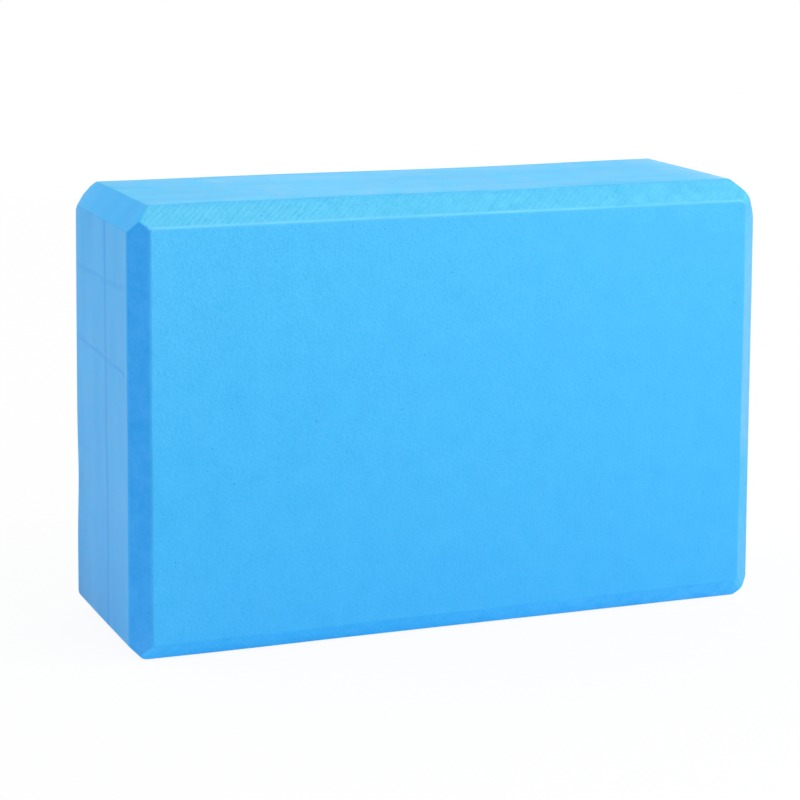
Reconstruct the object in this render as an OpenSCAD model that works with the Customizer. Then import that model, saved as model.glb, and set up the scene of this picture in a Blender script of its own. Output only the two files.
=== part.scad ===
// Foam exercise block, standing on one of its long narrow faces.
// One solid piece, cut from a slab of closed-cell foam.
//
// Millimetres. +X runs along the length, +Y through the thickness from the
// front broad face to the back one, and +Z is up. The origin is the centre
// of the face that the block stands on.

/* [Block] */
// Length, from the left end to the right end
block_length = 230; // [120:1:400]
// Height, from the face it stands on to the top
block_height = 150; // [80:1:260]
// Thickness, between the two broad faces
block_thickness = 75; // [30:1:120]

/* [Bevels] */
// Width of the 45 degree bevel round the rim of each broad face, along either face
rim_bevel = 6.8; // [2:0.1:14]
// Width of the 45 degree cut between the top and the left end
upper_left_cut = 7.8; // [2:0.1:14]
// Width of the 45 degree cut between the top and the right end
upper_right_cut = 9; // [2:0.1:14]
// Width of the 45 degree cut between the underside and the left end
lower_left_cut = 5.2; // [2:0.1:14]
// Width of the 45 degree cut between the underside and the right end
lower_right_cut = 5.2; // [2:0.1:14]
// Radius that softens every long edge
edge_radius = 0.9; // [0.3:0.1:1.6]

/* [Smoothness] */
// Facets in a full turn of the edge radius
edge_facets = 32; // [16:8:48]

/* [Hidden] */

foam_colour = "#4EC0FD";

// Outward normal of the side from one corner to the next, going anticlockwise.
function side_normal(from, to) = [to.y - from.y, from.x - to.x] / norm(to - from);

// Centres of the edge arcs of a rectangle whose corners are cut at 45 degrees. Each side
// lies one edge radius inside the outline, which shortens a cut by (2 - sqrt(2)) radii.
// The cuts are listed from the lower left corner, anticlockwise.
function arc_centres(width, height, cuts) =
    let(
        x = width / 2 - edge_radius,
        y = height / 2 - edge_radius,
        c = [for (cut = cuts) cut - (2 - sqrt(2)) * edge_radius]
    )
    [
        [-x, -y + c[0]], [-x + c[0], -y],
        [x - c[1], -y], [x, -y + c[1]],
        [x, y - c[2]], [x - c[2], y],
        [-x + c[3], y], [-x, y - c[3]]
    ];

// Rectangle centred on the origin with cut corners, and an arc wherever two sides meet.
module softened_outline(width, height, cuts) {
    centres = arc_centres(width, height, cuts);
    last = len(centres) - 1;
    polygon([
        for (i = [0:last])
            let(
                before = centres[i == 0 ? last : i - 1],
                after = centres[i == last ? 0 : i + 1]
            )
            each [
                centres[i] + edge_radius * side_normal(before, centres[i]),
                centres[i] + edge_radius * side_normal(centres[i], after)
            ]
    ]);
    for (centre = centres)
        translate(centre)
            circle(r = edge_radius, $fn = edge_facets);
}

// Outline of the broad faces, with its own cut at each corner, through the thickness.
module side_profile() {
    rotate([90, 0, 0])
        linear_extrude(block_thickness, center = true)
            softened_outline(block_length, block_height,
                [lower_left_cut, lower_right_cut, upper_right_cut, upper_left_cut]);
}

// Section across the length, with the rim bevels along the top and the underside.
module cross_profile() {
    rotate([90, 0, 90])
        linear_extrude(block_length, center = true)
            softened_outline(block_thickness, block_height, [for (i = [0:3]) rim_bevel]);
}

// Section seen from above, with the rim bevels down the two ends.
module plan_profile() {
    linear_extrude(block_height, center = true)
        softened_outline(block_length, block_thickness, [for (i = [0:3]) rim_bevel]);
}

module foam_block() {
    color(foam_colour)
        translate([0, 0, block_height / 2])
            intersection() {
                side_profile();
                cross_profile();
                plan_profile();
            }
}

foam_block();
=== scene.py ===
import math

import bpy
import numpy as np
from mathutils import Matrix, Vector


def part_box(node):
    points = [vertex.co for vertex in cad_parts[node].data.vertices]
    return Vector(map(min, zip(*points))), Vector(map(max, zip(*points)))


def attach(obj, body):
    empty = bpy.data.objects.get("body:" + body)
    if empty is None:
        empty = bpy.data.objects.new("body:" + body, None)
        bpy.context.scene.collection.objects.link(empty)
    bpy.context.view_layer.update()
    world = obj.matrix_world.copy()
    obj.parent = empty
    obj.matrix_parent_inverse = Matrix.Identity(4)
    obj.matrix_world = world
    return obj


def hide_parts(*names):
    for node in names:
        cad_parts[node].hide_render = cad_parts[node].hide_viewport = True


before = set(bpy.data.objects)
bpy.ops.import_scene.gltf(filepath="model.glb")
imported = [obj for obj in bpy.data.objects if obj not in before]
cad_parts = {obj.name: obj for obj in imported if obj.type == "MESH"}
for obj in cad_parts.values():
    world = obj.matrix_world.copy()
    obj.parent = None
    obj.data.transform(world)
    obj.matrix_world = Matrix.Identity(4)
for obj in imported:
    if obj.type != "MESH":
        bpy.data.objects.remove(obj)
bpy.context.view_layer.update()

print("frame loaded, nodes:", sorted(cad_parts))


def makeMesh(name, points, faces, smooth=True):
    # one object from rows of x, y, z and a list of faces, each a list of row numbers
    mesh = bpy.data.meshes.new(name)
    mesh.from_pydata(points.tolist(), [], faces)
    mesh.polygons.foreach_set("use_smooth", np.full(len(faces), smooth))
    mesh.update()
    piece = bpy.data.objects.new(name, mesh)
    bpy.context.scene.collection.objects.link(piece)
    return piece


def addShare(piece, name, values):
    # one number or one vector per vertex, which a material reads by name
    values = np.asarray(values, np.float32)
    kind, field = ("FLOAT", "value") if values.ndim == 1 else ("FLOAT_VECTOR", "vector")
    piece.data.attributes.new(name, kind, "POINT").data.foreach_set(field, values.ravel())


def emptyTree(owner):
    # the node tree of a material or a world, cleared
    owner.use_nodes = True
    owner.node_tree.nodes.clear()
    return owner.node_tree


def addNode(tree, kind, inputs=None, **settings):
    # a node with its settings, and each input either linked to a socket or given a value
    node = tree.nodes.new(kind)
    for name, value in settings.items():
        setattr(node, name, value)
    for name, value in (inputs or {}).items():
        if isinstance(value, bpy.types.NodeSocket):
            tree.links.new(value, node.inputs[name])
        else:
            node.inputs[name].default_value = value
    return node


def combine(tree, operation, first, second=0.0, third=0.0):
    # one step of arithmetic on sockets or numbers
    node = addNode(tree, "ShaderNodeMath", {0: first, 1: second, 2: third}, operation=operation)
    return node.outputs[0]


def combineVectors(tree, operation, inputs):
    # one step of arithmetic on vectors
    return addNode(tree, "ShaderNodeVectorMath", inputs, operation=operation).outputs[0]


def times(tree, product, *factors):
    # all of them multiplied together
    for factor in factors:
        product = combine(tree, "MULTIPLY", product, factor)
    return product


def scaled(tree, value, factor, start=0.0):
    # start + value x factor
    return combine(tree, "MULTIPLY_ADD", value, factor, start)


def layered(tree, layers, total=0.0):
    # total + the sum of each layer x its strength
    for layer, strength in layers:
        total = scaled(tree, layer, strength, total)
    return total


def highest(tree, first, second):
    # the greater of two values
    return combine(tree, "MAXIMUM", first, second)


def centred(tree, value):
    # moves a value about a half to one about 0
    return combine(tree, "SUBTRACT", value, 0.5)


def rise(tree, value, low, high, lowOut=0.0, highOut=1.0):
    # smooth step: lowOut at low, highOut at high, an S curve between and level beyond
    span = {"From Min": low, "From Max": high, "To Min": lowOut, "To Max": highOut}
    node = addNode(tree, "ShaderNodeMapRange", {"Value": value, **span}, interpolation_type="SMOOTHSTEP")
    return node.outputs["Result"]


def noise(tree, vector, recipe):
    # fractal noise from 0 to 1: the recipe is cells per metre, octaves, and how much each octave keeps
    perMetre, octaves, kept = recipe
    inputs = {"Vector": vector, "Scale": perMetre, "Detail": octaves, "Roughness": kept}
    return addNode(tree, "ShaderNodeTexNoise", inputs).outputs["Fac"]


def cellNet(tree, vector, perMetre):
    # rounded cells: the distance to the nearest cell centre, and a random colour for each cell
    inputs = {"Vector": vector, "Scale": perMetre}
    return addNode(tree, "ShaderNodeTexVoronoi", inputs, feature="F1").outputs


def stretched(tree, vector, perMetre):
    # coordinates multiplied along each axis, so that a noise gets longer one way than another
    return addNode(tree, "ShaderNodeMapping", {"Vector": vector, "Scale": perMetre}).outputs[0]


def readShare(tree, name):
    # one of the numbers that addShare gave each vertex
    return addNode(tree, "ShaderNodeAttribute", attribute_name=name).outputs["Fac"]


blockShape = {
    # bevels, cut by hand: width on the front or back face, width on the neighbouring side, and how much wider
    # they are on that face at their right or upper end than at the other
    "bevels": {
        "frontLeft": (0.00643, 0.0048, 0.0), "frontRight": (0.0062, 0.00565, -0.00045),
        "frontTop": (0.00675, 0.0069, 0.00026), "frontBottom": (0.0058, 0.0043, 0.00138),
        "backLeft": (0.00695, 0.0064, 0.0), "backRight": (0.0068, 0.0068, 0.0),
        "backTop": (0.0069, 0.0065, 0.0), "backBottom": (0.0068, 0.0068, 0.0),
    },
    # cuts across the left corners: length along the top or underside, length down the end, and how much more
    # of the first is taken at the back than at the front
    "endCuts": {"upperLeft": (0.00722, 0.0079, -0.0006), "lowerLeft": (0.0054, 0.00535, 0.00145)},
    # the right corners are cut round: radii at even angles from the end round to the top or underside
    "roundCorners": {
        "upperRight": (0.0130, 0.0167, 0.0151, 0.0118, 0.0100),
        "lowerRight": (0.0065, 0.0082, 0.0095, 0.0072, 0.0065),
    },
    "cornerFacets": 17,
    # places where two or three flats meet and are rubbed down, with the depth
    "rubbedPlaces": (
        (("upperLeft", "backLeft"), 0.0007),
        (("upperLeft", "backTop"), 0.0003),
        (("upperLeft", "backLeft", "backTop"), 0.0014),
        (("backLeft", "backTop"), 0.0001),
        (("lowerLeft", "backLeft"), 0.0002),
        (("lowerLeft", "backLeft", "backBottom"), 0.0003),
        (("lowerLeft", "leftEnd", "backLeft"), 0.0004),
        (("lowerLeft", "underside", "frontBottom"), 0.0004),
        (("frontFace", "frontLeft"), 0.00015),
        (("leftEnd", "frontLeft"), 0.00015),
        (("top", "frontTop"), 0.0001),
        (("upperLeft", "frontTop"), 0.0003),
        (("frontTop", "frontRight"), 0.0008),
        (("frontBottom", "frontRight"), 0.0005),
        (("frontFace", "frontBottom"), 0.0001),
        (("frontFace", "frontRight"), 0.00012),
    ),
    "edgeRadius": 0.0012,      # softening of every edge
    # the ends were cut a little out of square: how far each stands in at the bottom and at the top, first at
    # the front and then at the back
    "leftInsets": ((0.00035, 0.0015), (0.0, 0.00198)),
    "rightInsets": ((0.0, 0.00252), (0.0, 0.00252)),
    # slow hollows: centre from the middle of the block, reach along x, y and z, and how far the surface moves
    "hollows": (
        ((0.0268, 0.0, 0.075), (0.041, 1.0, 0.005), (0.0, 0.0, -0.00042)),
        ((-0.115, 0.0375, -0.027), (0.02, 0.035, 0.014), (0.00043, 0.0, 0.0)),
    ),
    "gridStandOff": 0.003,     # the working grid lies this far outside the block
    "fineStep": 0.00045,       # grid step near the bevels
    "coarseStep": 0.0022,      # grid step over the flats
    "fineZone": 0.0145,        # width of the fine part at either end of a grid line
    "settleRounds": 40,        # turns of all flats that bring the grid points onto the core
    # slow unevenness, inwards only: depth, wave length in metres, and what is added to the seed
    "faceWaves": (0.00012, 0.07, 0),
    "rimWaves": (0.0003, 0.03, 1),     # of the hand cut bevels
    "waveCount": 9,
    "wavePaces": (0.6, 1.5),   # slowest and fastest wave, as a share of the pace that the length gives
    "waveGain": 1.4,
    "seed": 11,

    # how a point's share of a flat falls off, with the turn from it and with the gap in metres
    "shareTurn": 40,
    "shareGap": 0.0005,
    "edgeTurn": math.pi / 8,   # turn from the nearest flat at which a point is fully on an edge
    "wornHighlightWidth": 0.0005,   # line along the lower edge of the front top bevel, partly a burnished edge, partly a painted highlight
    "wornHighlightEnd": (0.0055, 0.009),    # metres from the right end over which it sets in
    "dullLineWidth": 0.0006,   # line along the upper edge of the same bevel
    "dullLineInset": 0.0008,
    "cutLine": 6,              # strength of the dull line between the upper left cut and the left end

    # dye (linear red, green, blue) and gloss of each face: partly the foam's own difference between its cuts
    # and the moulded skin, and partly painted light and shade, each face set lighter or darker for the light
    # on it
    "faceDyesAndShade": {
        "other": (0.042, 0.430, 0.93, 0.35),
        "frontFace": (0.036, 0.401, 0.775, 0.42), "backFace": (0.036, 0.401, 0.775, 0.42),
        "top": (0.034, 0.457, 0.82, 0.048), "underside": (0.036, 0.480, 0.95, 0.20),
        "leftEnd": (0.040, 0.424, 0.90, 0.35), "rightEnd": (0.040, 0.424, 0.90, 0.35),
        "frontLeft": (0.041, 0.353, 0.85, 0.15), "backLeft": (0.041, 0.353, 0.85, 0.15),
        "frontRight": (0.036, 0.378, 0.655, 0.62), "backRight": (0.036, 0.385, 0.80, 0.60),
        "frontTop": (0.068, 0.484, 0.787, 0.58), "backTop": (0.061, 0.490, 0.83, 0.40),
        "frontBottom": (0.0255, 0.440, 0.885, 0.38), "backBottom": (0.0260, 0.440, 0.885, 0.38),
        "upperLeft": (0.037, 0.472, 1.0, 0.17), "upperRight": (0.040, 0.440, 0.90, 0.28),
        "lowerRight": (0.040, 0.440, 0.90, 0.35),
    },
    # how strongly each face is banded by the skin of the mould
    "bandShares": {"leftEnd": 0.55, "rightEnd": 0.55, "top": 0.5, "underside": 0.5, "other": 0.25},
    # painted light and shade: how much lighter the red and green of the dye are at the top than at the bottom
    "paintedLightRise": {"other": 0.045, "frontFace": 0.09, "frontLeft": -0.01, "backLeft": -0.01},
    # painted shadow: the left end is darker near the floor, most of all at the back, and duller there too
    "paintedFloorShadow": 0.38,
    "paintedShadowHeight": 0.022,
    "paintedShadowAtFront": 0.1,        # share of it that is left at the front
    "paintedShadowDulling": 2,
    # gloss added to the top: towards the left, towards the back, and all over
    "topShineLeft": 0.25,
    "topShineBack": 0.65,
    "topShineFrom": 0.6,       # how far back the second starts, from 0 at the front to 1
    "topShineAll": -0.1,
    "cornerDulling": 1.8,      # of the rubbed corner between the front top and front right bevels
    # painted light, as white added to the dye, and height or reach in metres
    "frontGlow": 0.016,        # front face, near the top
    "frontGlowReach": 0.045,
    "cutGlow": 0.052,          # upper left cut, towards the back
    "cutGlowLess": 0.17,       # taken from it all over the cut
    "bevelGlow": 0.010,        # front top bevel, left of the middle
    "bevelGlowRise": (0.02, 0.08),
    "lowGlow": 0.016,          # front bottom bevel, towards the right and beside the left end
    "lowGlowRight": 1.3,
    "lowGlowLeft": 1.6,
    "lowGlowReach": 0.02,
    "footGlow": 0.032,         # foot of the front left bevel
    "footGlowReach": 0.008,
    "edgeGlow": 0.014,         # front face, beside the upper part of its left edge
    "edgeGlowStart": 0.007,
    "edgeGlowReach": 0.008,
    "edgeGlowRise": (0.35, 0.8),       # as parts of the height
    # painted highlight, as colour added to the front right bevel: its upper part, less near the top, and a
    # place near the foot
    "rightGlow": (0.052, 0.015, 0.0),
    "rightGlowRise": (0.047, 0.06),
    "rightGlowLess": 0.7,
    "rightGlowFade": (0.115, 0.143),
    "rightFoot": 0.4,
    "rightFootHeight": 0.017,
    "rightFootReach": 0.009,
}


def gridLine(low, high, shape):
    # stations along one edge of the working box: fine steps inside the zone at either end, and the nearest
    # whole number of coarse steps between the two zones
    zone = shape["fineZone"]
    fineCount = round(zone / shape["fineStep"])
    coarseCount = max(1, round((high - low - 2 * zone) / shape["coarseStep"]))
    return np.concatenate([
        np.linspace(low, low + zone, fineCount + 1),
        np.linspace(low + zone, high - zone, coarseCount + 1)[1:-1],
        np.linspace(high - zone, high, fineCount + 1),
    ])


def wrapBox(lines):
    # the outside of a box as one closed grid: six sides of quads, each corner named by three station
    # numbers, so that neighbouring sides share the points on the border between them
    counts = [len(line) for line in lines]
    sides = []
    for axis in range(3):
        across, along = [other for other in range(3) if other != axis]
        rows, columns = np.indices((counts[across] - 1, counts[along] - 1))
        for end in (0, counts[axis] - 1):
            quads = np.zeros(rows.shape + (4, 3), np.int64)
            for corner, (rowStep, columnStep) in enumerate(((0, 0), (1, 0), (1, 1), (0, 1))):
                quads[..., corner, axis] = end
                quads[..., corner, across] = rows + rowStep
                quads[..., corner, along] = columns + columnStep
            if (end == 0) != (axis == 1):  # corners run anticlockwise as seen from outside
                quads = quads[..., ::-1, :]
            sides.append(quads.reshape(-1, 4, 3))
    stations = np.concatenate(sides).reshape(-1, 3)
    keys = (stations[:, 0] * counts[1] + stations[:, 1]) * counts[2] + stations[:, 2]
    kept, corners = np.unique(keys, return_inverse=True)
    points = np.stack([
        lines[0][kept // (counts[1] * counts[2])],
        lines[1][kept // counts[2] % counts[1]],
        lines[2][kept % counts[2]],
    ], axis=1)
    return points, corners.reshape(-1, 4)


def cutFlat(half, axes, signs, widths, skew):
    # outward normal and distance from the centre of the flat that takes the first width along the first axis
    # and the second along the other: the offsets divided by the widths add up to 1; the skew makes the first
    # width that much greater at the far end of the third axis than at the near end
    third = 3 - sum(axes)
    normal = np.zeros(3)
    normal[third] = skew / (2 * half[third] * widths[0])
    for axis, sign, width in zip(axes, signs, widths):
        normal[axis] = sign / width
    reach = sum(half[axis] / width for axis, width in zip(axes, widths)) - 1
    length = np.linalg.norm(normal)
    return normal / length, reach / length


def rubbedFlat(flats, depth):
    # the flat that rubs down the place where two or three flats meet: its normal is the mean of theirs, and
    # it lies the depth inside their nearest common point, found by least squares
    normals = np.array([normal for normal, reach in flats])
    meeting = np.linalg.lstsq(normals, np.array([reach for normal, reach in flats]), rcond=None)[0]
    normal = normals.sum(axis=0)
    normal /= np.linalg.norm(normal)
    return normal, normal @ meeting - depth


def flatSides(half, shape):
    # outward normal and distance from the centre of every flat: six sides, eight bevels, two end cuts, the
    # facets of the round corners, then what is rubbed off edges and corners; and the names each flat answers
    # to, its own or those of the flats it is rubbed from
    flats = {}
    for axis, names in enumerate((("leftEnd", "rightEnd"), ("frontFace", "backFace"), ("underside", "top"))):
        for name, sign in zip(names, (-1, 1)):
            normal = np.zeros(3)
            normal[axis] = sign
            flats[name] = (normal, half[axis])
    for name, (axis, sign) in {"Left": (0, -1), "Right": (0, 1), "Bottom": (2, -1), "Top": (2, 1)}.items():
        for face, side in (("front", -1), ("back", 1)):
            *widths, skew = shape["bevels"][face + name]
            flats[face + name] = cutFlat(half, (axis, 1), (sign, side), widths, skew)
    for name, (*widths, skew) in shape["endCuts"].items():
        flats[name] = cutFlat(half, (0, 2), (-1, 1 if name.startswith("upper") else -1), widths, skew)
    # a facet at each angle touches a circle of its radius that is set into the square corner
    angles = np.linspace(0, math.pi / 2, shape["cornerFacets"] + 2)[1:-1]
    for name, radii in shape["roundCorners"].items():
        corner = half * (1, 0, 1 if name.startswith("upper") else -1)
        radii = np.interp(angles, np.linspace(0, math.pi / 2, len(radii)), radii)
        depths = radii * (np.cos(angles) + np.sin(angles) - 1)
        for number, (angle, depth) in enumerate(zip(angles, depths)):
            normal = np.array([math.cos(angle), 0, math.sin(angle) * np.sign(corner[2])])
            flats[name + str(number)] = (normal, normal @ corner - depth)
    groups = [(name.rstrip("0123456789"),) for name in flats]
    for group, depth in shape["rubbedPlaces"]:
        flats["rubbed" + str(len(flats))] = rubbedFlat([flats[name] for name in group], depth)
        groups.append(group)
    normals, reaches = zip(*flats.values())
    return groups, np.array(normals), np.array(reaches)


def slideToCore(points, normals, reaches, rounds):
    # nearest point of the flat sided core to each grid point: every flat in turn gives back its last push,
    # then pushes in what still stands outside it, until the pushes settle
    placed = points.copy()
    pushes = np.zeros((len(normals), len(points)))
    for _ in range(rounds):
        for number, (normal, reach) in enumerate(zip(normals, reaches)):
            needed = np.maximum(placed @ normal - reach + pushes[number], 0)
            placed -= np.outer(needed - pushes[number], normal)
            pushes[number] = needed
    return placed


def slowWaves(points, waves, shape):
    # smooth unevenness: depth x (a half + gain x the mean of sine waves of about one length in random
    # directions), held between 0 and the depth
    depth, length, moreSeed = waves
    count = shape["waveCount"]
    random = np.random.default_rng(shape["seed"] + moreSeed)
    directions = random.normal(size=(count, 3))
    paces = 2 * math.pi / length * random.uniform(*shape["wavePaces"], count)
    directions *= (paces / np.linalg.norm(directions, axis=1))[:, None]
    mean = np.sin(points @ directions.T + random.uniform(0, 2 * math.pi, count)).mean(axis=1)
    return depth * np.clip(0.5 + mean * shape["waveGain"], 0, 1)


def flatShares(outward, normals, gaps, shape):
    # how much of each flat a point belongs to, 1 on the flat and a half in the middle of an edge: e to the
    # power of (cosine of the turn from the flat - 1) x shareTurn - the core point's gap from it / shareGap,
    # divided by the sum of that for all flats
    weights = np.exp(shape["shareTurn"] * (outward @ normals.T - 1) - gaps / shape["shareGap"])
    return weights / weights.sum(axis=1, keepdims=True)


def shareOf(shares, groups, names):
    # how much a point belongs to the named faces: the sum of its shares of all flats, each times the part of
    # that flat's own names that is wanted
    return shares @ np.array([np.mean([name in names for name in group]) for group in groups])


def meanOf(groups, values):
    # the value of each flat, or the mean of those it is rubbed from
    ownValues = [[values.get(name, values["other"]) for name in group] for group in groups]
    return np.array([np.mean(own, axis=0) for own in ownValues])


def smoothStep(values, low, high):
    # 0 below low, 1 above high, an S curve between
    part = np.clip((values - low) / (high - low), 0, 1)
    return part * part * (3 - 2 * part)


def nearLine(distance, width):
    # 1 on a line, falling off as a bell of the given width
    return np.exp(-(distance / width) ** 2)


def partUp(points, half):
    # height from the floor / height of the block: 0 at the floor, 1 at the top
    return (points[:, 2] + half[2]) / (2 * half[2])


def partAlong(points, half, axis):
    # place / size of the block + a half: 0 at the left or front, 1 at the right or back
    return np.clip(points[:, axis] / half[axis] / 2 + 0.5, 0, 1)


def bendFaces(points, outward, half, rimShare, shape):
    # each point moves inwards by the waves, then by each hollow's bell, e to the power of -(distance from
    # its centre / reach) squared; last, it moves along x in proportion to its distance from the middle, so
    # that the end stands in by its inset at that height and depth
    inward = slowWaves(points, shape["faceWaves"], shape)
    inward += rimShare * slowWaves(points, shape["rimWaves"], shape)
    points = points - outward * inward[:, None]
    for centre, reach, move in shape["hollows"]:
        bell = np.exp(-(((points - centre) / reach) ** 2).sum(axis=1))
        points += bell[:, None] * move
    insets = np.where(points[:, 0, None, None] < 0, shape["leftInsets"], shape["rightInsets"])
    insets = insets[:, :, 0] + (insets[:, :, 1] - insets[:, :, 0]) * partUp(points, half)[:, None]
    inset = insets[:, 0] + (insets[:, 1] - insets[:, 0]) * partAlong(points, half, 1)
    points[:, 0] *= 1 - inset / half[0]
    return points


def addMarks(block, straight, bent, outward, normals, half, on, shape):
    # what the foam needs to know of each point: the kind of face, how near it is to an edge or a line, and
    # its place along and across its bevel; all but the right end of the pale line is taken before the bends
    turned = 1 - (outward @ normals.T).max(axis=1)
    edgeShare = np.clip(turned / (1 - math.cos(shape["edgeTurn"])), 0, 1)
    behind, above = straight[:, 1] + half[1], straight[:, 2] - half[2]  # from the front and from the top
    onFace, onTop, widening = shape["bevels"]["frontTop"]
    onFace = onFace + widening * straight[:, 0] / (2 * half[0])
    # partly painted highlight, partly a burnished edge, along the lower edge of the front top bevel
    wornHighlightLine = nearLine(np.hypot(behind, above + onFace), shape["wornHighlightWidth"])
    wornHighlightLine *= smoothStep(half[0] - bent[:, 0], *shape["wornHighlightEnd"])
    inset = shape["dullLineInset"]
    dullLine = nearLine(np.hypot(behind - onTop + inset, above + inset), shape["dullLineWidth"])
    cutLine = np.clip(4 * on["upperLeft"] * on["leftEnd"], 0, 1)  # 1 where both shares are halves
    dullLine += shape["cutLine"] * cutLine
    levelRim = np.abs(outward[:, 2]) > np.abs(outward[:, 0])  # bevels along the top and the underside
    addShare(block, "rimShare", on["rim"])
    addShare(block, "broadShare", on["broad"])
    addShare(block, "edgeShare", edgeShare)
    addShare(block, "frontTopWornHighlight", wornHighlightLine)
    addShare(block, "topLine", dullLine)
    addShare(block, "rimAlong", np.where(levelRim, straight[:, 0], straight[:, 2]))
    addShare(block, "rimAcross", (half[1] - np.abs(straight[:, 1])) * math.sqrt(2))


def addDyes(block, points, half, on, shares, groups, shape):
    # dye = the mean of the faces' dyes by share x painted tone + painted light as white + the right bevel's
    # painted highlight, where the painted tone is 1 + the rise x height from the middle - the painted floor
    # shadow;
    # gloss = the mean of the faces' gloss x shine
    height = partUp(points, half)
    rightwards, backwards = partAlong(points, half, 0), partAlong(points, half, 1)
    farBack = backwards ** 3
    aboveFloor = height * 2 * half[2]
    fromLeft = points[:, 0] + half[0]
    # each face's dye and gloss, partly painted light and shade
    shadedLooks = meanOf(groups, shape["faceDyesAndShade"])

    # painted light and shade: lighter towards the top, darker towards the bottom
    paintedRises = shares @ meanOf(groups, shape["paintedLightRise"]) * (height - 0.5)
    # painted shadow on the left end near the floor, darker and duller, most of all at the back
    floorShadow = shape["paintedShadowAtFront"] + (1 - shape["paintedShadowAtFront"]) * farBack
    floorShadow = np.exp(-aboveFloor / shape["paintedShadowHeight"]) * floorShadow * on["leftEnd"] * shape["paintedFloorShadow"]
    paintedTone = 1 + paintedRises[:, None] * (1, 1, 0) - floorShadow[:, None]

    topShine = shape["topShineLeft"] * (1 - 2 * rightwards) + shape["topShineAll"]
    topShine += shape["topShineBack"] * smoothStep(backwards, shape["topShineFrom"], 1)
    shine = 1 - shape["paintedShadowDulling"] * floorShadow + topShine * on["top"]
    shine -= shape["cornerDulling"] * on["frontTop"] * on["frontRight"]

    # painted light: white added on the front near the top, the upper left cut, the front top bevel, the low
    # bevels and the front face's left edge
    belowTop = 2 * half[2] - aboveFloor
    white = shape["frontGlow"] * np.exp(-belowTop / shape["frontGlowReach"]) * on["frontFace"]
    white += shape["cutGlow"] * (farBack - shape["cutGlowLess"]) * on["upperLeft"]
    white += shape["bevelGlow"] * smoothStep(-points[:, 0], *shape["bevelGlowRise"]) * on["frontTop"]
    lowGlow = shape["lowGlowRight"] * rightwards ** 2
    lowGlow += shape["lowGlowLeft"] * np.exp(-fromLeft / shape["lowGlowReach"])
    white += shape["lowGlow"] * lowGlow * on["frontBottom"]
    white += shape["footGlow"] * np.exp(-aboveFloor / shape["footGlowReach"]) * on["frontLeft"]
    edgeGlow = np.exp((shape["edgeGlowStart"] - fromLeft) / shape["edgeGlowReach"])
    edgeGlow = np.clip(edgeGlow * smoothStep(height, *shape["edgeGlowRise"]), 0, 1)
    white += shape["edgeGlow"] * edgeGlow * on["frontFace"]

    # painted highlight on the front right bevel
    rightGlow = smoothStep(aboveFloor, *shape["rightGlowRise"])
    rightGlow *= 1 - shape["rightGlowLess"] * smoothStep(aboveFloor, *shape["rightGlowFade"])
    rightGlow += shape["rightFoot"] * nearLine(aboveFloor - shape["rightFootHeight"], shape["rightFootReach"])
    rightGlow *= on["frontRight"]

    dye = shares @ shadedLooks[:, :3] * paintedTone + white[:, None] + rightGlow[:, None] * shape["rightGlow"]
    addShare(block, "dye", np.clip(dye, 0, 1))
    addShare(block, "gloss", shares @ shadedLooks[:, 3] * shine)
    addShare(block, "bandShare", shares @ meanOf(groups, shape["bandShares"]))


def buildBlock(shape):
    # surface = nearest point of the flat sided core + edge radius x outward direction, which rounds every
    # edge; then the bends of the faces
    low, high = (np.array(corner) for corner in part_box("foam_block"))
    middle, half = (low + high) / 2, (high - low) / 2
    radius, standOff = shape["edgeRadius"], shape["gridStandOff"]
    lines = [gridLine(-half[axis] - standOff, half[axis] + standOff, shape) for axis in range(3)]
    gridPoints, quads = wrapBox(lines)
    groups, normals, reaches = flatSides(half, shape)
    core = slideToCore(gridPoints, normals, reaches - radius, shape["settleRounds"])
    outward = gridPoints - core
    outward /= np.linalg.norm(outward, axis=1, keepdims=True)
    straight = core + radius * outward
    shares = flatShares(outward, normals, np.maximum(reaches - radius - core @ normals.T, 0), shape)

    on = {name: shareOf(shares, groups, (name,)) for name in shape["faceDyesAndShade"]}
    on["rim"] = shareOf(shares, groups, shape["bevels"])
    on["broad"] = shareOf(shares, groups, ("frontFace", "backFace"))
    bent = bendFaces(straight, outward, half, on["rim"], shape)
    block = makeMesh("foamBlock", bent + middle, quads.tolist())
    addMarks(block, straight, bent, outward, normals, half, on, shape)
    addDyes(block, bent, half, on, shares, groups, shape)
    print("block:", len(bent), "vertices,", len(quads), "quads")
    return block


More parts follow.
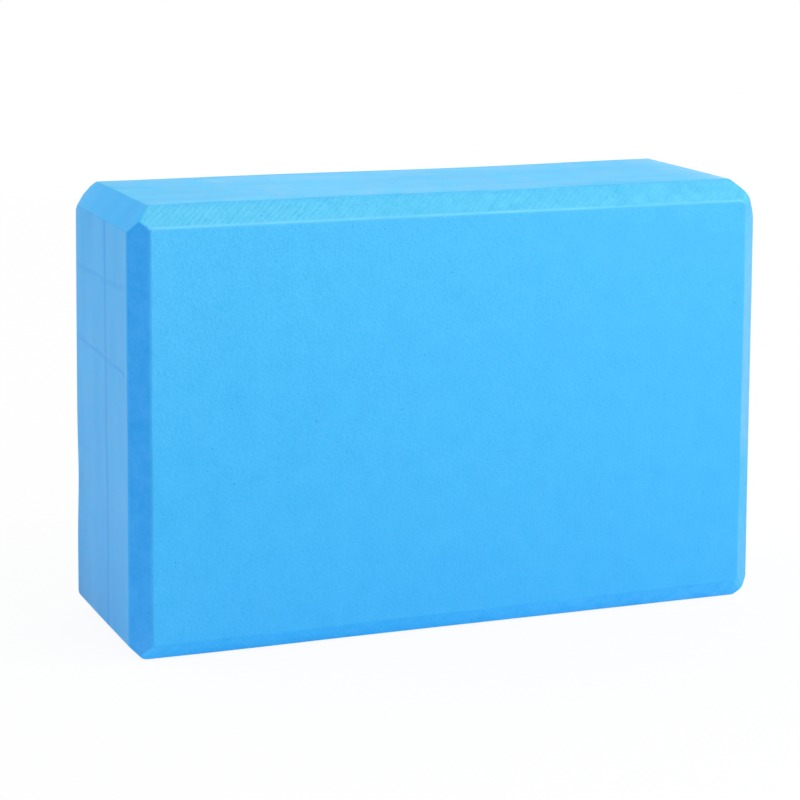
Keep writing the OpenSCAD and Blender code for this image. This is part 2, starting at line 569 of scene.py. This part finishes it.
foamFinish = {
    "paleDye": (0.14, 0.57, 0.98),      # torn and burnished cells, and the painted highlight along the front top bevel, linear
    "deepDye": (0.030, 0.34, 0.86),     # painted shade inside open cells and folds; also the darker glue line and dull edge lines
    "tintShares": (1.0, 1.0, 0.6),      # how much of a tint red, green and blue take
    "reliefUnit": 0.001,                # depths of relief are in millimetres
    "refraction": 1.45,
    "sawnRoughness": 0.66,
    "rimRoughness": 0.6,
    "skinRoughness": 0.45,
    "levelTilt": (0.2, 0.5),            # up or down part of the normal over which a face turns level
    "topHeight": (0.148, 0.149),        # height over which it turns into the top
    "endPlace": (-0.1085, -0.1125),     # x over which it turns into the left end

    # each noise below is cells per metre, octaves, and how much an octave keeps of the one before

    # closed cells, and a faint net of their walls
    "grainNoise": (1100, 2.5, 0.6),
    "netPerMetre": 990,
    "netMiddle": 0.42,
    "netDepth": 0.25,
    "grainRise": 4.2,                   # how much stronger the grain gets per metre upwards, and to the left
    "grainFade": 2.0,
    "grainHeight": 0.075,               # height at which its strength is 1 in the middle of the block
    "uprightGrain": -0.5,               # added to its strength on bevels
    "levelGrain": 0.4,                  # and again on level ones
    "grainTint": 0.085,                 # how far it lightens and darkens the dye
    "grainPale": 0.028,                 # how much white it adds
    "sawnRelief": 0.12,

    # open cells, and pinholes: centre and radius in metres
    "holesPerMetre": 620,
    "holeWidth": (0.06, 0.2),           # parts of a cell over which its depth ends
    "holeChoice": (0.985, 0.99),        # random number over which a cell of the net is an open one
    "holeDepth": 0.8,
    "holeRelief": 0.25,
    "pinholes": (
        ((-0.0512, -0.0375, 0.0767), 0.0005),
        ((0.0095, -0.0375, 0.0288), 0.0005),
        ((-0.0799, -0.0375, 0.0579), 0.0005),
        ((-0.0119, -0.0044, 0.15), 0.0009),
    ),
    "pinholeFloor": 0.4,                # part of the radius that is at full depth
    "pinholeDepth": 0.6,

    # mottling of the dye, and slow patches
    "mottleNoise": (110, 4.0, 0.55),
    "mottleTint": 0.09,
    "mottlePale": 0.012,
    "patchNoise": (22, 2.0, 0.5),

    # moulded skin: clouds and bands stretched by the numbers per metre, and ripples
    "cloudStretch": (115.0, 75.0, 115.0),
    "cloudNoise": (1.0, 4.0, 0.6),
    "rippleNoise": (480, 3.0, 0.6),
    "rippleShare": 0.5,
    "topClouds": 0.45,                  # how much stronger both are on the top
    "skinTint": 0.16,
    "skinShine": 0.8,
    "skinRough": 0.25,
    "skinRelief": 0.03,
    "bandStretch": (14.0, 60.0, 14.0),
    "bandNoise": (1.0, 2.0, 0.55),
    "bandTint": 0.3,
    "bandShine": 3.2,

    # folds pressed into the left end: y and z of either end, in metres, and how deep
    "endFolds": (
        {"start": (0.031, 0.1225), "end": (-0.032, 0.1233), "strength": 0.8},
        {"start": (0.031, 0.0980), "end": (-0.031, 0.0957), "strength": 1.0},
        {"start": (0.031, 0.0607), "end": (0.009, 0.0613), "strength": 0.5},
    ),
    "foldWidth": 0.0016,
    "foldStart": (-0.001, 0.003),       # how a fold sets in from its front end
    "foldStop": (-0.002, 0.001),        # and stops at its back end
    "wanderNoise": (60, 1.0, 0.5),
    "foldWander": 0.0022,               # metres up and down
    "foldRelief": 0.16,
    # upright glue line of the left end: its y at the middle height, and how far that goes back per metre up
    "glueLine": {"place": -0.0072, "middle": 0.08, "drift": 0.017, "width": 0.0023},
    "glueTop": (0.1414, 0.1424),        # height over which it stops
    "glueDepth": 1.8,                   # its depth in dye and gloss, beside the folds'
    "glueRelief": 0.04,
    "sunkenDeep": 0.35,                 # how much of the deep dye the folds, as painted shade, and the glue line take
    "sunkenShine": -0.3,
    # ridge on the top: y and x of either end
    "topFold": {"start": (0.0250, -0.0471), "end": (-0.0135, -0.0511), "strength": 1.0},
    "topFoldRelief": 0.048,
    "topFoldShine": 0.2,
    "dullLineDeep": 0.12,               # deep dye along the upper edge of the front top bevel

    # knife strokes across the bevels: metres from one to the next along them
    "strokePitch": 0.0023,
    "strokeWander": 9.0,                # radians that the mottling shifts the wave
    "strokeWave": 0.15,                 # height of the wave, beside the noise
    "strokeAlong": 1.15,                # noise cells per pitch along a bevel, and up the slant
    "strokeSlant": 0.28,
    "strokeNoise": (1.0, 2.0, 0.6),
    "strokeUpright": 0.12,              # strength on upright bevels
    # from and to a level of the patches, a height and an x, and the strengths there
    "strokePatches": (0.3, 0.6, 0.5, 1.0),
    "strokeFoot": (0.01, 0.02, 0.35, 1.0),
    "strokeSides": (-0.06, -0.01, 0.78, 0.5),
    "strokeTint": 0.2,
    "strokePale": 0.065,
    "strokeRelief": 0.10,

    # torn patches of the bevels
    "tornNoise": (260, 3.0, 0.6),
    "tornBase": 0.75,
    "tornSides": (-0.06, 0.08, 0.0, 0.6),       # what level bevels get more, from and to an x
    "tornTint": 0.12,
    "tornPale": 0.06,

    # share of the pale dye: on rubbed edges from and to a level of the mottling, and on the partly worn,
    # partly painted highlight line of the patches
    "wornShare": (0.35, 0.7, 0.0, 0.1),
    "wornHighlightShare": (0.35, 0.6, 0.6, 1.05),
}


def readPlace(tree, finish):
    # what several layers share: the place, the kind of face, and two slow noises
    coordinates = addNode(tree, "ShaderNodeTexCoord").outputs["Object"]
    place = addNode(tree, "ShaderNodeSeparateXYZ", {0: coordinates}).outputs
    geometry = addNode(tree, "ShaderNodeNewGeometry")
    normal = addNode(tree, "ShaderNodeSeparateXYZ", {0: geometry.outputs["Normal"]}).outputs
    rim = readShare(tree, "rimShare")
    cut = combine(tree, "ADD", rim, readShare(tree, "broadShare"))
    return {
        "coordinates": coordinates, "x": place["X"], "y": place["Y"], "z": place["Z"],
        "rim": rim,                                    # knife cut bevels
        "cut": cut,                                    # bevels and sawn broad faces
        "skin": combine(tree, "SUBTRACT", 1.0, cut),   # smooth moulded skin
        "level": rise(tree, combine(tree, "ABSOLUTE", normal["Z"]), *finish["levelTilt"]),
        "top": rise(tree, place["Z"], *finish["topHeight"]),
        "mottle": noise(tree, coordinates, finish["mottleNoise"]),
        "patches": noise(tree, coordinates, finish["patchNoise"]),
    }


def nearFold(tree, along, beside, fold, finish):
    # the fold's strength along the straight line between its two points, fading over the width to either
    # side of the line and past either end
    low, high = sorted((fold["start"], fold["end"]))
    slope = (high[1] - low[1]) / (high[0] - low[0])
    line = scaled(tree, along, slope, low[1] - slope * low[0])
    distance = combine(tree, "ABSOLUTE", combine(tree, "SUBTRACT", beside, line))
    near = rise(tree, distance, 0.0, finish["foldWidth"], 1.0, 0.0)
    started = rise(tree, along, *(low[0] + step for step in finish["foldStart"]))
    going = rise(tree, along, *(high[0] + step for step in finish["foldStop"]), 1.0, 0.0)
    return times(tree, near, times(tree, started, going), fold["strength"])


def makeGrain(tree, where, finish):
    # fine closed cells: a noise about 0 minus a faint net of cell walls; stronger per metre upwards and to
    # the left, and weaker on bevels, most of all on upright ones
    cells = centred(tree, noise(tree, where["coordinates"], finish["grainNoise"]))
    net = cellNet(tree, where["coordinates"], finish["netPerMetre"])["Distance"]
    grain = scaled(tree, combine(tree, "SUBTRACT", net, finish["netMiddle"]), -finish["netDepth"], cells)
    middle = 1 - finish["grainHeight"] * finish["grainRise"]
    strength = layered(tree, [(where["z"], finish["grainRise"]), (where["x"], -finish["grainFade"])], middle)
    onRim = scaled(tree, where["level"], finish["levelGrain"], finish["uprightGrain"])
    return times(tree, grain, times(tree, strength, scaled(tree, where["rim"], onRim, 1.0)))


def makeHoles(tree, where, finish):
    # open cells scattered all over, as a few cells of a coarser net, and a few wider pinholes
    net = cellNet(tree, where["coordinates"], finish["holesPerMetre"])
    choice = addNode(tree, "ShaderNodeSeparateColor", {0: net["Color"]}).outputs[0]
    holes = times(tree, rise(tree, net["Distance"], *finish["holeWidth"], 1.0, 0.0),
                  rise(tree, choice, *finish["holeChoice"], 0.0, finish["holeDepth"]))
    for centre, radius in finish["pinholes"]:
        inputs = {0: where["coordinates"], 1: centre}
        distance = addNode(tree, "ShaderNodeVectorMath", inputs, operation="DISTANCE").outputs["Value"]
        pinhole = rise(tree, distance, radius * finish["pinholeFloor"], radius, finish["pinholeDepth"], 0.0)
        holes = highest(tree, holes, pinhole)
    return holes


def makeSkin(tree, where, finish):
    # clouds + ripples of the skin, about 0, and bands that run round the block, about 0
    clouds = noise(tree, stretched(tree, where["coordinates"], finish["cloudStretch"]), finish["cloudNoise"])
    ripples = noise(tree, where["coordinates"], finish["rippleNoise"])
    share = finish["rippleShare"]
    skinGrain = combine(tree, "SUBTRACT", scaled(tree, ripples, share, clouds), 0.5 + 0.5 * share)
    skinGrain = times(tree, skinGrain, scaled(tree, where["top"], finish["topClouds"], 1.0))
    bands = noise(tree, stretched(tree, where["coordinates"], finish["bandStretch"]), finish["bandNoise"])
    return skinGrain, times(tree, centred(tree, bands), readShare(tree, "bandShare"), where["skin"])


def makeEndLines(tree, where, finish):
    # folds and glue line of the left end, each 1 along its middle; the folds wander up and down by a noise
    leftEnd = times(tree, rise(tree, where["x"], *finish["endPlace"]), where["skin"])
    wander = centred(tree, noise(tree, where["coordinates"], finish["wanderNoise"]))
    bentZ = scaled(tree, wander, finish["foldWander"], where["z"])
    folds = 0.0
    for fold in finish["endFolds"]:
        folds = highest(tree, folds, nearFold(tree, where["y"], bentZ, fold, finish))
    glue = finish["glueLine"]
    fromPlace = combine(tree, "SUBTRACT", where["y"], glue["place"])
    fromLine = scaled(tree, combine(tree, "SUBTRACT", where["z"], glue["middle"]), -glue["drift"], fromPlace)
    glueLine = rise(tree, combine(tree, "ABSOLUTE", fromLine), 0.0, glue["width"], 1.0, 0.0)
    glueLine = times(tree, glueLine, leftEnd, rise(tree, where["z"], *finish["glueTop"], 1.0, 0.0))
    return times(tree, folds, leftEnd), glueLine


def makeStrokes(tree, where, finish):
    # ragged marks of the knife that cut the bevels, slanting across them: waves along the bevel minus its
    # width, broken up by a noise that is short along the bevel and long up the slant; clearest on the level
    # bevels towards the left
    pitch = finish["strokePitch"]
    along, across = readShare(tree, "rimAlong"), readShare(tree, "rimAcross")
    slanted = combine(tree, "SUBTRACT", along, across)
    wander = times(tree, where["mottle"], finish["strokeWander"])
    wave = combine(tree, "SINE", scaled(tree, slanted, 2 * math.pi / pitch, wander))
    ragged = addNode(tree, "ShaderNodeCombineXYZ", {
        0: times(tree, slanted, finish["strokeAlong"] / pitch),
        1: times(tree, combine(tree, "ADD", along, across), finish["strokeSlant"] / pitch)})
    ragged = centred(tree, noise(tree, ragged.outputs[0], finish["strokeNoise"]))
    strokes = combine(tree, "ADD", times(tree, wave, finish["strokeWave"]), ragged)
    upright = finish["strokeUpright"]
    marked = times(tree, rise(tree, where["patches"], *finish["strokePatches"]), where["rim"],
                   scaled(tree, where["level"], 1 - upright, upright),
                   rise(tree, where["z"], *finish["strokeFoot"]),
                   rise(tree, where["x"], *finish["strokeSides"]))
    return times(tree, strokes, marked)


def makeTorn(tree, where, finish):
    # torn patches of the bevels: a noise about 0, stronger on the level ones towards the right
    torn = times(tree, centred(tree, noise(tree, where["coordinates"], finish["tornNoise"])), where["rim"])
    tornMore = times(tree, where["level"], rise(tree, where["x"], *finish["tornSides"]))
    return times(tree, torn, combine(tree, "ADD", tornMore, finish["tornBase"]))


def makeFoam(finish):
    # colour = dye + dye x tint + white, then mixed with the pale and the deep dye; relief, tint, white and
    # roughness are sums of layers x strengths, and gloss is a product of 1 + layer x strength
    material = bpy.data.materials.new("foam")
    tree = emptyTree(material)
    where = readPlace(tree, finish)
    cut, skin = where["cut"], where["skin"]
    mottle = centred(tree, where["mottle"])
    grain, holes = makeGrain(tree, where, finish), makeHoles(tree, where, finish)
    skinGrain, bands = makeSkin(tree, where, finish)
    folds, glueLine = makeEndLines(tree, where, finish)
    sunken = highest(tree, folds, times(tree, glueLine, finish["glueDepth"]))
    topFold = times(tree, nearFold(tree, where["y"], where["x"], finish["topFold"], finish), where["top"])
    strokes, torn = makeStrokes(tree, where, finish), makeTorn(tree, where, finish)

    relief = layered(tree, [
        (grain, times(tree, cut, finish["sawnRelief"])),
        (skinGrain, times(tree, skin, finish["skinRelief"])),
        (strokes, finish["strokeRelief"]),
        (folds, -finish["foldRelief"]),
        (glueLine, -finish["glueRelief"]),
        (topFold, finish["topFoldRelief"]),
        (holes, -finish["holeRelief"]),
    ])
    bump = addNode(tree, "ShaderNodeBump", {
        "Height": relief, "Strength": 1.0, "Distance": finish["reliefUnit"]})
    tint = layered(tree, [
        (grain, times(tree, cut, finish["grainTint"])),
        (skinGrain, times(tree, skin, finish["skinTint"])),
        (mottle, finish["mottleTint"]),
        (strokes, finish["strokeTint"]),
        (torn, finish["tornTint"]),
        (bands, finish["bandTint"]),
    ])
    white = layered(tree, [  # from broken cell walls
        (grain, times(tree, cut, finish["grainPale"])),
        (strokes, finish["strokePale"]),
        (torn, finish["tornPale"]),
        (mottle, finish["mottlePale"]),
    ])
    dye = addNode(tree, "ShaderNodeAttribute", attribute_name="dye").outputs["Vector"]
    change = combineVectors(tree, "SCALE", {0: finish["tintShares"], "Scale": tint})
    colour = combineVectors(tree, "MULTIPLY_ADD", {0: change, 1: dye, 2: dye})
    colour = combineVectors(tree, "ADD", {0: colour, 1: white})

    # paler where edges are rubbed and on the partly painted highlight line; painted shade as deeper dye in
    # holes and folds
    worn = times(tree, readShare(tree, "edgeShare"), rise(tree, where["mottle"], *finish["wornShare"]))
    wornHighlightLine = times(tree, readShare(tree, "frontTopWornHighlight"),
                     rise(tree, where["patches"], *finish["wornHighlightShare"]))
    # painted shade in open cells, pinholes and folds, and the darker glue line
    deep = highest(tree, holes, times(tree, sunken, finish["sunkenDeep"]))
    deep = highest(tree, deep, times(tree, readShare(tree, "topLine"), finish["dullLineDeep"]))
    for share, other in ((highest(tree, worn, wornHighlightLine), "paleDye"), (deep, "deepDye")):
        mix = addNode(tree, "ShaderNodeMix", {"Factor": share, "A": colour, "B": finish[other] + (1.0,)},
                      data_type="RGBA", clamp_factor=True)
        colour = mix.outputs["Result"]

    rough = layered(tree, [
        (cut, finish["sawnRoughness"] - finish["skinRoughness"]),
        (where["rim"], finish["rimRoughness"] - finish["sawnRoughness"]),
        (skinGrain, finish["skinRough"]),
    ], finish["skinRoughness"])
    gloss = readShare(tree, "gloss")
    for layer, more in ((sunken, "sunkenShine"), (skinGrain, "skinShine"), (bands, "bandShine"),
                        (topFold, "topFoldShine")):
        gloss = times(tree, gloss, scaled(tree, layer, finish[more], 1.0))
    surface = addNode(tree, "ShaderNodeBsdfPrincipled", {
        "Base Color": colour, "Roughness": rough, "IOR": finish["refraction"], "Specular IOR Level": gloss,
        "Normal": bump.outputs[0]})
    addNode(tree, "ShaderNodeOutputMaterial", {"Surface": surface.outputs[0]})
    return material


block = buildBlock(blockShape)
block.data.materials.append(makeFoam(foamFinish))
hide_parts("foam_block")
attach(block, "root")
print("foam finish done")


studio = {
    "floorRadius": 4.0,
    "floorRings": 40,
    "floorSpokes": 96,
    "floorHeight": -0.0001,    # just below the block
    "floorColour": 0.9,        # grey level of the floor
    "floorLift": 0.92,         # how far the floor is lifted to white for the camera, its shadows kept faint
    "fadeStart": 0.25,         # where the floor starts to fade into the background
    "fadeEnd": 1.2,
    "backgroundLevel": 1.0,    # white, for the camera and for gloss
    "roomLevel": 0.46,         # what the room gives the surfaces
    "lampDistance": 1.5,
    "lampSize": 1.0,
    "lampTarget": (0, 0, 0.075),
    "lamps": (
        {"name": "frontSoft", "azimuth": 5, "elevation": 8, "power": 9.3},
        {"name": "keySoft", "azimuth": 40, "elevation": 60, "power": 4.0},
        {"name": "sideSoft", "azimuth": 60, "elevation": 20, "power": 10.0},
        {"name": "rightSoft", "azimuth": 100, "elevation": 25, "power": 1.0},
        {"name": "backSoft", "azimuth": 150, "elevation": 30, "power": 5.0},
        {"name": "leftSoft", "azimuth": -120, "elevation": 35, "power": 7.0},
    ),
}


def seenShare(tree):
    # 1 for what the camera sees straight, in gloss or through glass, 0 for what only gives light
    rays = addNode(tree, "ShaderNodeLightPath").outputs
    mirrored = highest(tree, rays["Is Glossy Ray"], rays["Is Transmission Ray"])
    return highest(tree, rays["Is Camera Ray"], mirrored)


def makeFloor(settings):
    # a flat disc: point = radius x (cosine, sine) of the angle, on rings whose radii grow evenly
    rings, spokes = settings["floorRings"], settings["floorSpokes"]
    radii = np.linspace(0, settings["floorRadius"], rings + 1)[1:]
    angles = np.linspace(0, 2 * math.pi, spokes, endpoint=False)
    circle = np.stack([np.cos(angles), np.sin(angles), np.zeros(spokes)], axis=1)
    points = np.concatenate([np.zeros((1, 3)), (radii[:, None, None] * circle).reshape(-1, 3)])
    points[:, 2] = settings["floorHeight"]
    here = np.arange(spokes)
    ahead = (here + 1) % spokes
    inner = 1 + spokes * np.arange(rings - 1)[:, None]
    outer = inner + spokes
    quads = np.stack([inner + here, outer + here, outer + ahead, inner + ahead], axis=-1)
    hub = np.stack([np.zeros(spokes, int), 1 + here, 1 + ahead], axis=-1)
    floor = makeMesh("paleFloor", points, quads.reshape(-1, 4).tolist() + hub.tolist(), smooth=False)

    material = bpy.data.materials.new("paleFloor")
    tree = emptyTree(material)
    place = addNode(tree, "ShaderNodeTexCoord").outputs["Object"]
    distance = addNode(tree, "ShaderNodeVectorMath", {0: place}, operation="LENGTH").outputs["Value"]
    far = rise(tree, distance, settings["fadeStart"], settings["fadeEnd"])
    whiteShare = times(tree, seenShare(tree), highest(tree, far, settings["floorLift"]))
    plain = addNode(tree, "ShaderNodeBsdfDiffuse", {"Color": (settings["floorColour"],) * 3 + (1.0,)})
    white = addNode(tree, "ShaderNodeEmission", {"Color": (1.0, 1.0, 1.0, 1.0), "Strength": 1.0})
    shown = addNode(tree, "ShaderNodeMixShader", {0: whiteShare, 1: plain.outputs[0], 2: white.outputs[0]})
    addNode(tree, "ShaderNodeOutputMaterial", {"Surface": shown.outputs[0]})
    floor.data.materials.append(material)


def makeRoom(settings):
    # an even room, shown white to the camera and in reflections
    world = bpy.data.worlds.new("studio")
    bpy.context.scene.world = world
    tree = emptyTree(world)
    room = settings["roomLevel"]
    strength = scaled(tree, seenShare(tree), settings["backgroundLevel"] - room, room)
    background = addNode(tree, "ShaderNodeBackground", {"Color": (1.0, 1.0, 1.0, 1.0), "Strength": strength})
    addNode(tree, "ShaderNodeOutputWorld", {"Surface": background.outputs[0]})


def aimedFrom(azimuth, elevation, roll, distance, target):
    # placement of something that looks at the target: azimuth turns from the front towards the right end,
    # elevation rises from the floor, and roll turns it about its own axis
    turn, lift, lean = (math.radians(angle) for angle in (azimuth, elevation, roll))
    back = np.array([math.sin(turn) * math.cos(lift), -math.cos(turn) * math.cos(lift), math.sin(lift)])
    level = np.array([math.cos(turn), math.sin(turn), 0.0])
    upright = np.cross(back, level)
    placement = np.eye(4)
    placement[:3, 0] = math.cos(lean) * level + math.sin(lean) * upright
    placement[:3, 1] = -math.sin(lean) * level + math.cos(lean) * upright
    placement[:3, 2] = back
    placement[:3, 3] = np.array(target) + back * distance
    return Matrix(placement.tolist())


def makeLamps(settings):
    # soft square lamps, all at one distance from the block
    for lamp in settings["lamps"]:
        light = bpy.data.lights.new(lamp["name"], "AREA")
        light.shape = "SQUARE"
        light.size = settings["lampSize"]
        light.energy = lamp["power"]
        holder = bpy.data.objects.new(lamp["name"], light)
        holder.matrix_world = aimedFrom(lamp["azimuth"], lamp["elevation"], 0, settings["lampDistance"],
                                        settings["lampTarget"])
        bpy.context.scene.collection.objects.link(holder)


viewpoint = {
    "azimuth": -21.712,        # degrees, from the front towards the left end
    "elevation": 12.067,
    "roll": 0.413,
    "distance": 0.91959,
    "target": (-0.006034, 0.00162, 0.07282),
    "lens": 118.6191,          # millimetres
    "sensorWidth": 36.0,
    "nearest": 0.01,           # metres that the camera sees from and to
    "farthest": 50.0,
}


def makeCamera(settings):
    # the scene's camera, aimed from the viewpoint
    lens = bpy.data.cameras.new("camera")
    lens.sensor_width = settings["sensorWidth"]
    lens.lens = settings["lens"]
    lens.clip_start = settings["nearest"]
    lens.clip_end = settings["farthest"]
    holder = bpy.data.objects.new("camera", lens)
    holder.matrix_world = aimedFrom(settings["azimuth"], settings["elevation"], settings["roll"],
                                    settings["distance"], settings["target"])
    bpy.context.scene.collection.objects.link(holder)
    bpy.context.scene.camera = holder


makeFloor(studio)
makeRoom(studio)
makeLamps(studio)
makeCamera(viewpoint)
bpy.context.scene.view_settings.view_transform = "Standard"
print("studio done")
